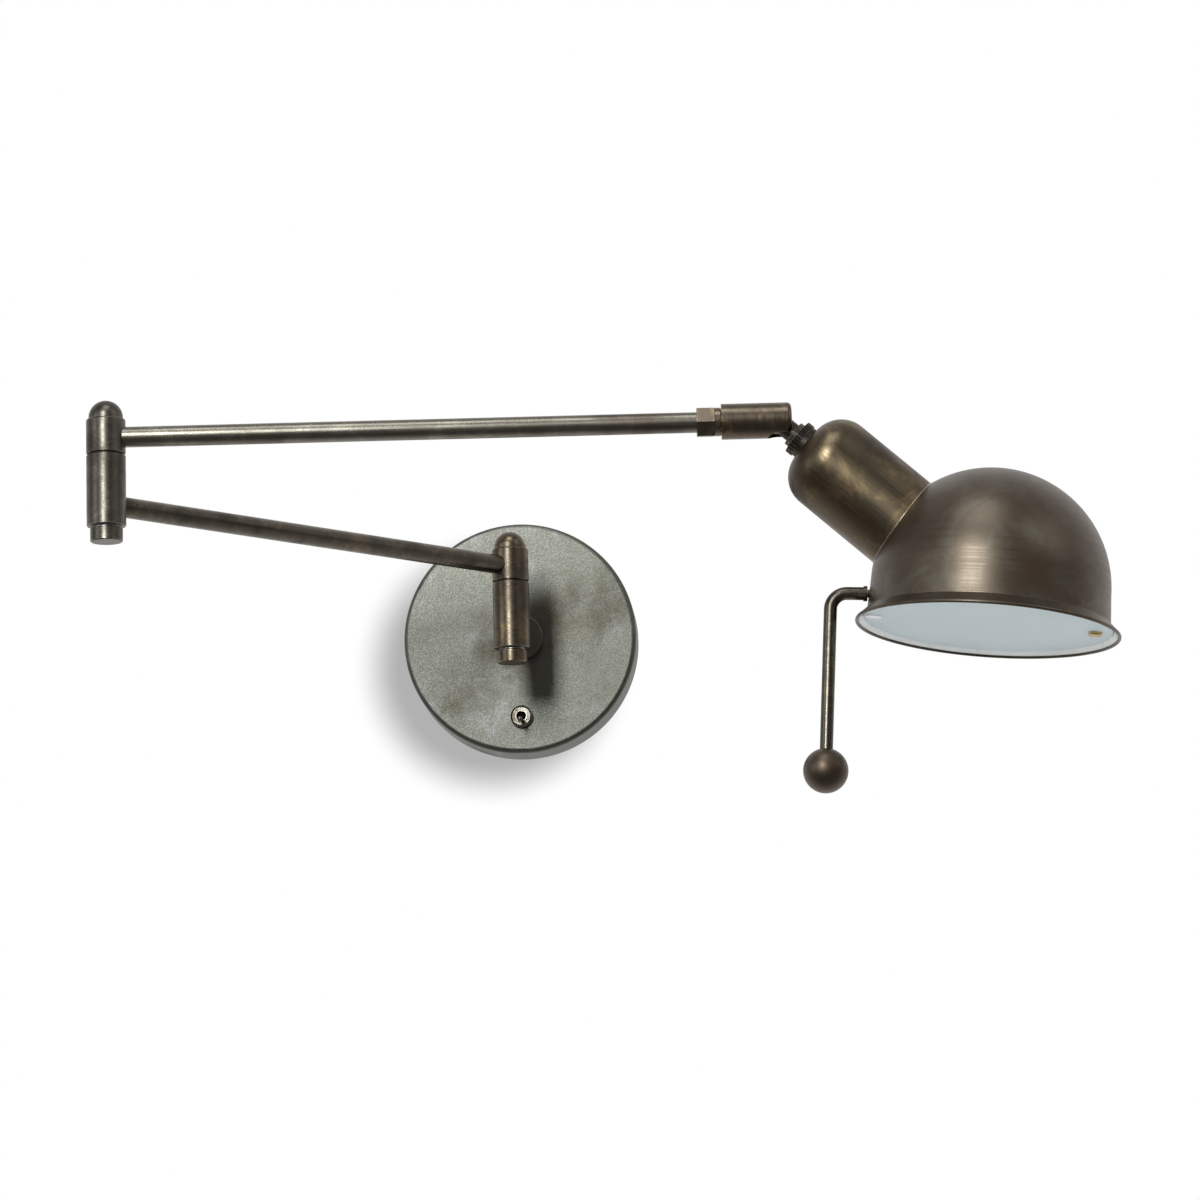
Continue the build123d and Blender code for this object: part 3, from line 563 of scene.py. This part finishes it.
class Lathe:
    """Makes a turned piece by extruding and sizing one ring, step by step."""

    def __init__(self, segments: int = 128) -> None:
        """Keep the number of segments round the axis."""
        self.segments = segments

    def turn(self, name: str, outline: Outline, place: Place) -> bpy.types.Object:
        """Turn a piece whose outline starts and ends on the axis, or closes.

        Args:
            name: the piece's name.
            outline: distances from the axis and heights, in order.
            place: the axis that the piece is turned about.

        Returns:
            The finished object, at the origin with its place in its mesh.
        """
        bpy.ops.object.select_all(action="DESELECT")
        radius, height = outline[0]
        bpy.ops.mesh.primitive_circle_add(vertices=self.segments, radius=radius,
                                          location=(0, 0, height))
        piece = bpy.context.object
        piece.name = piece.data.name = name
        bpy.ops.object.mode_set(mode="EDIT")
        bpy.ops.mesh.select_all(action="SELECT")
        for new_radius, new_height in outline[1:]:
            step = {"value": (0, 0, new_height - height)}
            bpy.ops.mesh.extrude_edges_move(TRANSFORM_OT_translate=step)
            size = new_radius / radius
            bpy.ops.transform.resize(value=(size, size, 1), center_override=(0, 0, new_height))
            radius, height = new_radius, new_height
        bpy.ops.mesh.select_all(action="SELECT")
        bpy.ops.mesh.remove_doubles(threshold=WELD)
        bpy.ops.mesh.normals_make_consistent(inside=False)
        bpy.ops.object.mode_set(mode="OBJECT")
        self.settle(piece, place.matrix())
        return piece

    def settle(self, piece: bpy.types.Object, matrix: Matrix) -> None:
        """Put a piece in place and bake the place into its mesh.

        Args:
            piece: the active object, made at the origin.
            matrix: where it goes.
        """
        piece.matrix_world = matrix @ piece.matrix_world
        bpy.ops.object.transform_apply(location=True, rotation=True, scale=True)
        bpy.ops.object.shade_smooth_by_angle(angle=SMOOTH_BELOW)

    def cut(self, piece: bpy.types.Object, cutter: bpy.types.Object) -> None:
        """Take a cutter's space out of a piece and delete the cutter.

        Args:
            piece: the object that is cut.
            cutter: the object that cuts it.
        """
        modifier = piece.modifiers.new("cut", "BOOLEAN")
        modifier.operation, modifier.object, modifier.solver = "DIFFERENCE", cutter, "EXACT"
        bpy.ops.object.select_all(action="DESELECT")
        bpy.context.view_layer.objects.active = piece
        piece.select_set(True)
        bpy.ops.object.modifier_apply(modifier=modifier.name)
        bpy.data.objects.remove(cutter)


# ------------------------------------------------------------------ sub-assemblies
class Dresser:
    """Gives CAD nodes their materials."""

    def __init__(self, effects: Effects) -> None:
        """Keep the shared effects."""
        self.effects = effects

    def metal(self, finish: AgedMetal, place: Place, label: str, *nodes: str) -> bpy.types.Material:
        """Dress nodes in one metal about one axis.

        Args:
            finish: the metal.
            place: the axis that its grain follows.
            label: what the material is for.
            nodes: the nodes that get it.

        Returns:
            The material.
        """
        material = finish.build(self.effects, place, label)
        self.put(material, *nodes)
        return material

    def put(self, material: bpy.types.Material, *nodes: str) -> None:
        """Put a material on nodes.

        Args:
            material: the material.
            nodes: the nodes that get it as their only one.
        """
        for name in nodes:
            slots = frame["nodes"][name].data.materials
            slots.clear()
            slots.append(material)
            LOG.info("dressed %s in %s", name, material.name)


@dataclass
class WallMount:
    """Canopy, what it hides, the post and the toggle switch."""

    layout: Layout
    dresser: Dresser

    def build(self) -> None:
        """Dress the wall mount."""
        axis, dress = self.layout.canopy(), self.dresser
        dress.metal(CANOPY, axis, "canopy", "canopy")
        dress.metal(ROSETTE, axis, "rosette", "rosette")
        dress.metal(BRASS, axis, "post", "wall_post")
        dress.metal(ZINC, axis, "inside", "mounting_strap", "canopy_grub_screws", "backing_plate",
                    "post_lock_washer", "post_nut")
        dress.metal(BARE_BRASS, axis, "earth", "earth_screw")
        dress.put(BLOCK.build(), "terminal_block")
        dress.put(PHENOLIC.build(), "switch_body")
        dress.metal(NICKEL, self.layout.switch(), "switch", "switch_lever", "switch_nut",
                    "switch_bushing", "switch_terminals")


@dataclass
class Arms:
    """Both barrel pivots and both tubes."""

    layout: Layout
    dresser: Dresser

    def build(self) -> None:
        """Dress the pivots and the tubes."""
        dress = self.dresser
        for pivot, finish in (("wall", BRASS), ("elbow", ELBOW_BRASS)):
            axis = self.layout.joint(f"{pivot}_swing")
            dress.metal(finish, axis, pivot, *(f"{pivot}_{part}" for part in (
                "fixed_knuckle", "turning_knuckle", "finial", "pivot_cap")))
            dress.metal(BARE_BRASS, axis, f"{pivot}_inside", f"{pivot}_pivot_sleeve")
            dress.metal(BLACKENED, axis, f"{pivot}_washer", f"{pivot}_thrust_washer")
            dress.metal(ZINC, axis, f"{pivot}_spring", f"{pivot}_spring_washer")
        dress.metal(TUBE_BRASS, self.layout.lower_arm(), "lower", "lower_arm_tube")
        upper = self.layout.joint("swivel_turn")
        # The upper arm's lighter brass is a painted sheen, not a different metal.
        dress.metal(UPPER_TUBE_PAINTED_SHEEN, upper, "upper", "upper_arm_tube")
        dress.metal(BRASS, upper, "swivel", "arm_end_nut", "swivel_collar", "swivel_barrel",
                    "swivel_plug")
        dress.metal(BARE_BRASS, upper, "spindle", "swivel_spindle", "ball_seat")
        dress.metal(ZINC, upper, "spindle_nut", "spindle_nut")


@dataclass
class Head:
    """Neck, cup, shade, lamp and handle."""

    layout: Layout
    dresser: Dresser
    dome_radius: float = 57.5 * MM
    wall: float = 1.2 * MM
    skirt_radius: float = 58.3 * MM
    skirt_wall: float = 1.4 * MM
    flare_start: float = 15.3 * MM      # below the dome's centre
    rim_depth: float = 21.5 * MM        # below the dome's centre
    rim_radius: float = 63.2 * MM
    bead_radius: float = 0.9 * MM
    bead_inset: float = 0.5 * MM
    bead_rise: float = 0.8 * MM
    tip_radius: float = 0.02 * MM       # ring at the crown, too small to see
    dome_steps: int = 40
    bead_steps: int = 14
    rim_bronze: float = 1.2 * MM        # height inside the rim that isn't enamelled
    cup_bore: float = 22.3 * MM
    cup_radius: float = 23.5 * MM
    cutter_depth: float = 60 * MM
    seam_wire: float = 0.35 * MM
    lathe: Lathe = field(default_factory=Lathe)

    def outline(self) -> Outline:
        """The spun shade's section: down its outside, round its bead and up its inside.

        Returns:
            Distances from the shade's axis and heights above the dome's centre.
        """
        bead = (self.rim_radius - self.bead_inset, self.bead_rise - self.rim_depth)
        inner_radius = self.dome_radius - self.wall
        crown = 89.9
        outside = arc((0, 0), self.dome_radius, crown, 0, self.dome_steps)
        flare = (self.skirt_radius, -self.flare_start)
        curl = arc(bead, self.bead_radius, 75, -200, self.bead_steps)
        inside = (self.skirt_radius - self.skirt_wall, -self.flare_start)
        back = arc((0, 0), inner_radius, 0, crown, self.dome_steps)
        return [(self.tip_radius, self.dome_radius), *outside, flare, *curl, inside, *back,
                (self.tip_radius, inner_radius)]

    def shade(self) -> bpy.types.Object:
        """Turn the shade, open it for the cup and enamel its inside.

        Returns:
            The shade, which replaces the CAD's plain one.
        """
        place, cup = self.layout.shade(), self.layout.joint("head_turn")
        piece = self.lathe.turn("spun_shade", self.outline(), place)
        bpy.ops.object.select_all(action="DESELECT")
        middle = cup.origin + cup.axis * (self.layout.dome_reach - self.dome_radius)
        bpy.ops.mesh.primitive_cylinder_add(vertices=96, radius=self.cup_bore,
                                            depth=self.cutter_depth)
        cutter = bpy.context.object
        cutter.matrix_world = Place(middle, cup.axis).matrix()
        self.lathe.cut(piece, cutter)
        piece.data.materials.clear()
        piece.data.materials.append(SHADE_BRASS.build(self.dresser.effects, place, "shade"))
        piece.data.materials.append(ENAMEL.build())
        local = place.matrix().inverted()
        turn = local.to_3x3()
        for face in piece.data.polygons:
            centre, normal = local @ face.center, turn @ face.normal
            out = Vector((centre.x, centre.y, max(centre.z, 0.0)))
            hidden = centre.z > -self.rim_depth + self.rim_bronze
            face.material_index = int(hidden and normal.dot(out) < 0)
        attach(piece, "head")
        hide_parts("shade_dome")
        LOG.info("made %s", piece.name)
        return piece

    def seam(self) -> bpy.types.Object:
        """Make the thin ring where the cup enters the shade: a solder fillet, coloured far lighter
        than the cup as a painted highlight along the joint.

        The cup's axis and the shade's don't cross, so the ring leans to lie on
        the dome at both its near and its far side.

        Returns:
            The ring.
        """
        cup, shade = self.layout.joint("head_turn"), self.layout.shade()
        aside = shade.origin - (cup.origin + cup.axis * self.layout.dome_reach)
        aside -= cup.axis * aside.dot(cup.axis)
        unit = aside.normalized()
        near, far = (math.sqrt(self.dome_radius ** 2 - (self.cup_radius + side * aside.length) ** 2)
                     for side in (-1, 1))
        along = (shade.origin - cup.origin).dot(cup.axis) - (near + far) / 2
        slope = (near - far) / (2 * self.cup_radius)
        axis = (cup.axis + unit * slope).normalized()
        bpy.ops.object.select_all(action="DESELECT")
        bpy.ops.mesh.primitive_torus_add(major_segments=128, minor_segments=12,
                                         major_radius=self.cup_radius, minor_radius=self.seam_wire)
        ring = bpy.context.object
        ring.name = ring.data.name = "cup_seam"
        place = Place(cup.origin + cup.axis * along, axis)
        self.lathe.settle(ring, place.matrix())
        # Light brass on the ring: a painted highlight where the cup meets the dome.
        ring.data.materials.append(SEAM_SOLDER_PAINTED_HIGHLIGHT.build(self.dresser.effects, place, "seam"))
        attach(ring, "head")
        return ring

    def build(self) -> None:
        """Make the shade and its seam, and dress the rest of the head."""
        dress, cup = self.dresser, self.layout.joint("head_turn")
        self.shade()
        self.seam()
        dress.metal(DARK_BRASS, cup, "neck", "swivel_neck", "cup_collar")
        dress.metal(BLACKENED, cup, "ring", "lock_ring")
        dress.metal(CUP_BRASS, cup, "cup", "socket_cup")
        dress.metal(ZINC, cup, "holder", "neck_nut", "holder_carrier", "screw_lug", "handle_nut")
        dress.metal(NICKEL, cup, "bulb_cap", "bulb_cap")
        dress.metal(BARE_BRASS, self.layout.shade(), "screw", "diffuser_screw")
        dress.metal(TUBE_BRASS, self.layout.shade(), "handle", "handle_rod", "handle_collar")
        dress.metal(SHADE_BRASS, self.layout.shade(), "ball", "handle_ball")
        dress.put(PHENOLIC.build(), "lamp_holder", "holder_ring")
        dress.put(OPAL.build(), "diffuser")
        dress.put(ENAMEL.build(), "diffuser_clip")
        dress.put(FROSTED.build(), "bulb_glass")


# ------------------------------------------------------------------ studio
Point = tuple[float, float, float]
WHITE = (1, 1, 1, 1)
BLACK = (0, 0, 0, 1)


@dataclass(frozen=True)
class Panel:
    """A rectangular light: where it is, its power in watts and its size in metres."""

    name: str
    spot: Point
    power: float
    wide: float
    tall: float


@dataclass(frozen=True)
class View:
    """The camera: its place, its turn in degrees and its lens in millimetres."""

    spot: Point = (0.17681, -2.33551, -0.41036)
    yaw: float = 3.306
    pitch: float = 10.5
    roll: float = 1.601
    lens: float = 132.64
    sensor: float = 36.0

    def matrix(self) -> Matrix:
        """The camera's place and turn in the model's frame."""
        yaw, pitch, roll = (math.radians(a) for a in (self.yaw, self.pitch, self.roll))
        forward = Vector((-math.sin(yaw) * math.cos(pitch),
                          math.cos(yaw) * math.cos(pitch), math.sin(pitch)))
        level = Vector((math.cos(yaw), math.sin(yaw), 0))
        upright = level.cross(forward)
        right = level * math.cos(roll) - upright * math.sin(roll)
        top = level * math.sin(roll) + upright * math.cos(roll)
        turn = Matrix((right, top, -forward)).transposed().to_4x4()
        return Matrix.Translation(self.spot) @ turn


@dataclass
class Studio:
    """Pale floor, a black sheet painted as the canopy's soft shadow on the wall, soft light and the
    camera.
    """

    floor_height: float = -0.75
    floor_size: float = 12
    # painted shadow behind the canopy: a black sheet's middle, the radii of its dark core and faded
    # edge, and its darkness
    painted_shadow_middle: Point = (-16 * MM, 0.5 * MM, -11 * MM)
    painted_shadow_core: float = 50 * MM         # radius of the painted shadow that is evenly dark
    painted_shadow_edge: float = 78 * MM         # radius where the painted shadow has faded out
    painted_shadow_depth: float = 0.56
    target: Vector = field(default_factory=lambda: Vector((0.0, -0.1, 0.0)))
    tint: Point = (0.94, 0.99, 1.0)
    key_distance: float = 2.6
    key_left: float = math.radians(12)
    key_above: float = math.radians(20)
    key_power: float = 46.0
    key_size: tuple[float, float] = (0.45, 1.1)
    fills: tuple[Panel, ...] = (
        Panel("top", (0.05, -1.1, 1.8), 9.0, 0.9, 0.9),
        Panel("left_fill", (-2.0, -1.4, 0.5), 5.0, 1.0, 1.0),
        Panel("right_fill", (1.9, -1.2, 1.3), 6.5, 1.5, 1.5))
    room_light: float = 0.12            # the surround's strength on the room's side
    wall_light: float = 0.8             # its strength on the wall's side
    view: View = View()

    def backdrop(self) -> None:
        """Add the floor, and a black sheet on the wall painted as the canopy's soft shadow."""
        bpy.ops.object.select_all(action="DESELECT")
        bpy.ops.mesh.primitive_plane_add(size=self.floor_size,
                                         location=(0, 0, self.floor_height))
        floor = bpy.context.object
        floor.name = "floor"
        floor.visible_glossy = False
        floor.data.materials.append(FLOOR.build())
        # A painted shadow: a black sheet just behind the canopy that darkens the wall; the lights
        # don't cast it.
        bpy.ops.mesh.primitive_plane_add(size=2.2 * self.painted_shadow_edge, location=self.painted_shadow_middle,
                                         rotation=(math.pi / 2, 0, 0))
        shade = bpy.context.object
        shade.name = "painted_wall_shadow"
        shade.visible_shadow = shade.visible_diffuse = shade.visible_glossy = False
        shade.data.materials.append(self.painted_soft_shadow())

    def painted_soft_shadow(self) -> bpy.types.Material:
        """Painted shadow: black that fades out from the sheet's middle and can't be seen from
        behind.

        Returns:
            The sheet's material.
        """
        material, nodes, shader = new_material("painted_wall_shadow")
        shader.inputs["Base Color"].default_value = BLACK
        shader.inputs["Roughness"].default_value = 1.0
        shader.inputs["Specular IOR Level"].default_value = 0.0
        reach = nodes.add("ShaderNodeVectorMath", operation="LENGTH")
        nodes.feed(reach, {0: nodes.add("ShaderNodeTexCoord").outputs["Object"]})
        # Darkness of the painted shadow: even out to the core radius, none at the edge.
        near = nodes.ramp(reach.outputs["Value"], self.painted_shadow_core, self.painted_shadow_edge,
                          self.painted_shadow_depth, 0.0)
        back = nodes.add("ShaderNodeNewGeometry").outputs["Backfacing"]
        front = nodes.math("SUBTRACT", 1.0, back)
        nodes.link(nodes.math("MULTIPLY", near, front), shader.inputs["Alpha"])
        return material

    def lights(self) -> None:
        """Add the key light and soft light from above and both sides."""
        aim = Vector((-math.sin(self.key_left), -math.cos(self.key_left),
                      math.sin(self.key_above)))
        spot = self.target + aim * self.key_distance
        self.panel(Panel("key", tuple(spot), self.key_power, *self.key_size))
        for fill in self.fills:
            self.panel(fill)

    def surround(self) -> None:
        """Add a surround that is white to the camera and lights softly from behind."""
        world = bpy.data.worlds.new("studio")
        bpy.context.scene.world = world
        world.use_nodes = True
        nodes = Nodes(world.node_tree)
        seen = world.node_tree.nodes["Background"]
        seen.inputs["Color"].default_value = WHITE
        way = nodes.feed(nodes.add("ShaderNodeSeparateXYZ"),
                         {0: nodes.add("ShaderNodeTexCoord").outputs["Generated"]})
        lit = nodes.add("ShaderNodeBackground")
        strength = nodes.ramp(way.outputs[1], -0.45, 0.75, self.room_light, self.wall_light)
        nodes.feed(lit, {"Color": WHITE, "Strength": strength})
        path, mix = nodes.add("ShaderNodeLightPath"), nodes.add("ShaderNodeMixShader")
        nodes.feed(mix, {0: path.outputs["Is Camera Ray"], 1: lit.outputs[0],
                         2: seen.outputs[0]})
        surface = world.node_tree.nodes["World Output"].inputs["Surface"]
        nodes.link(mix.outputs[0], surface)
        bpy.context.scene.view_settings.view_transform = "Standard"

    def panel(self, panel: Panel) -> None:
        """Add one light panel aimed at the target, unseen by the camera.

        Args:
            panel: the light.
        """
        data = bpy.data.lights.new(panel.name, "AREA")
        data.shape = "RECTANGLE"
        data.energy, data.size, data.size_y = panel.power, panel.wide, panel.tall
        data.color = self.tint
        lamp = bpy.data.objects.new(panel.name, data)
        lamp.visible_camera = False
        lamp.location = panel.spot
        aim = self.target - Vector(panel.spot)
        lamp.rotation_euler = aim.to_track_quat("-Z", "Y").to_euler()
        bpy.context.scene.collection.objects.link(lamp)

    def camera(self) -> None:
        """Add the camera."""
        data = bpy.data.cameras.new("camera")
        data.sensor_width, data.lens = self.view.sensor, self.view.lens
        camera = bpy.data.objects.new("camera", data)
        camera.matrix_world = self.view.matrix()
        bpy.context.scene.collection.objects.link(camera)
        bpy.context.scene.camera = camera


def main() -> None:
    """Build the looks in order."""
    logging.basicConfig(level=logging.INFO, format="%(message)s")
    layout, dresser = Layout(), Dresser(Effects())
    for group in (WallMount(layout, dresser), Arms(layout, dresser), Head(layout, dresser)):
        group.build()
    studio = Studio()
    studio.backdrop()
    studio.lights()
    studio.surround()
    studio.camera()


if __name__ == "__main__":
    main()
